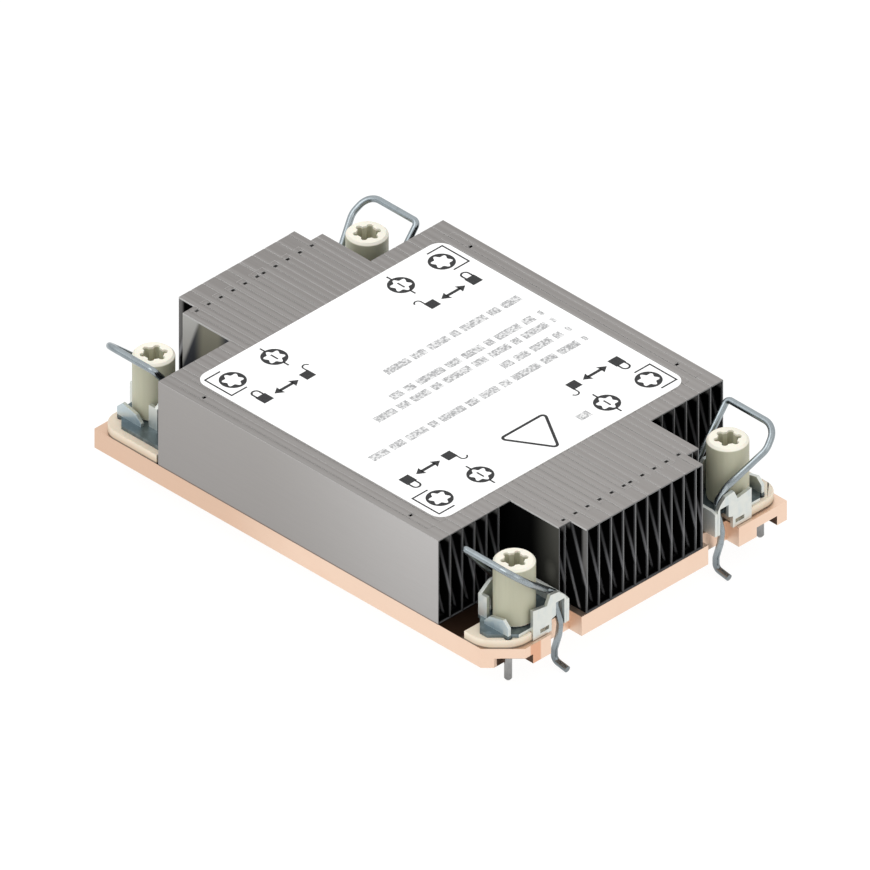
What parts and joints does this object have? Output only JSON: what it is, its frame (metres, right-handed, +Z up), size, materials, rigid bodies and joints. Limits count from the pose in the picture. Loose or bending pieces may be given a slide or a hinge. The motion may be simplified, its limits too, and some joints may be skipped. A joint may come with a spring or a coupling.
{
  "type": "passive server processor heatsink",
  "caption": "Low passive heatsink for a narrow server socket: folded fins on a copper base, with captive nuts and anti-tilt wire bails in its corners.",
  "frame": {"origin": "centre of the copper base's underside, which lies on the processor", "axes": "+X along the fins, the way the air goes; +Z up, away from the processor; the one ear with a cut corner is at +X and -Y"},
  "size_m": [0.1154, 0.0784, 0.0304],
  "materials": {
    "copper": "pale satin copper, machined and passivated",
    "fin_aluminium": "bright rolled sheet, satin",
    "label_white": "matt white film with pale grey shapes",
    "pad_plastic": "cream moulded plastic, satin",
    "bracket_zinc": "bright zinc plate on pressed sheet",
    "nut_plastic": "grey beige moulded plastic, satin",
    "spring_steel": "dark satin spring steel",
    "pin_steel": "bright ground steel",
    "wire_steel": "bright drawn and plated wire"
  },
  "bodies": {
    "root": {"base_plate": "copper", "side_fin_right": "fin_aluminium", "block_fins_right": "fin_aluminium", "relieved_block_fins_right": "fin_aluminium", "step_fin_right": "fin_aluminium", "slotted_step_fin_right": "fin_aluminium", "wing_fins_right": "fin_aluminium", "relieved_wing_fins_right": "fin_aluminium", "middle_fin": "fin_aluminium", "relieved_wing_fins_left": "fin_aluminium", "wing_fins_left": "fin_aluminium", "tip_fin_left": "fin_aluminium", "step_fins_left": "fin_aluminium", "relieved_block_fins_left": "fin_aluminium", "block_fins_left": "fin_aluminium", "side_fin_left": "fin_aluminium", "label_sheet": "label_white", "ear_pad_front_left": "pad_plastic", "wire_bracket_front_left": "bracket_zinc", "guide_pin_front_left": "pin_steel", "ear_pad_front_right": "pad_plastic", "wire_bracket_front_right": "bracket_zinc", "guide_pin_front_right": "pin_steel", "ear_pad_rear_left": "pad_plastic", "wire_bracket_rear_left": "bracket_zinc", "guide_pin_rear_left": "pin_steel", "ear_pad_rear_right": "pad_plastic", "wire_bracket_rear_right": "bracket_zinc", "guide_pin_rear_right": "pin_steel"},
    "nut_body_front_left": {"nut_front_left": "nut_plastic", "nut_clip_front_left": "spring_steel"},
    "wire_body_front_left": {"wire_bail_front_left": "wire_steel"},
    "nut_body_front_right": {"nut_front_right": "nut_plastic", "nut_clip_front_right": "spring_steel"},
    "wire_body_front_right": {"wire_bail_front_right": "wire_steel"},
    "nut_body_rear_left": {"nut_rear_left": "nut_plastic", "nut_clip_rear_left": "spring_steel"},
    "wire_body_rear_left": {"wire_bail_rear_left": "wire_steel"},
    "nut_body_rear_right": {"nut_rear_right": "nut_plastic", "nut_clip_rear_right": "spring_steel"},
    "wire_body_rear_right": {"wire_bail_rear_right": "wire_steel"}
  },
  "joints": [
    {"name": "nut_turn_front_left", "type": "hinge", "parent": "root", "child": "nut_body_front_left", "pos_m": [0.0497, 0.0293, 0.00735], "axis": [0, 0, 1], "continuous": true},
    {"name": "wire_swing_front_left", "type": "hinge", "parent": "root", "child": "wire_body_front_left", "pos_m": [0.0446, 0.0222, 0.0085], "axis": [1, 0, 0], "range_deg": [0, 18]},
    {"name": "nut_turn_front_right", "type": "hinge", "parent": "root", "child": "nut_body_front_right", "pos_m": [0.0497, -0.0293, 0.00735], "axis": [0, 0, 1], "continuous": true},
    {"name": "wire_swing_front_right", "type": "hinge", "parent": "root", "child": "wire_body_front_right", "pos_m": [0.0446, -0.0222, 0.0085], "axis": [-1, 0, 0], "range_deg": [0, 18]},
    {"name": "nut_turn_rear_left", "type": "hinge", "parent": "root", "child": "nut_body_rear_left", "pos_m": [-0.0497, 0.0293, 0.00735], "axis": [0, 0, 1], "continuous": true},
    {"name": "wire_swing_rear_left", "type": "hinge", "parent": "root", "child": "wire_body_rear_left", "pos_m": [-0.0446, 0.0222, 0.0085], "axis": [1, 0, 0], "range_deg": [0, 18]},
    {"name": "nut_turn_rear_right", "type": "hinge", "parent": "root", "child": "nut_body_rear_right", "pos_m": [-0.0497, -0.0293, 0.00735], "axis": [0, 0, 1], "continuous": true},
    {"name": "wire_swing_rear_right", "type": "hinge", "parent": "root", "child": "wire_body_rear_right", "pos_m": [-0.0446, -0.0222, 0.0085], "axis": [-1, 0, 0], "range_deg": [0, 18]}
  ]
}
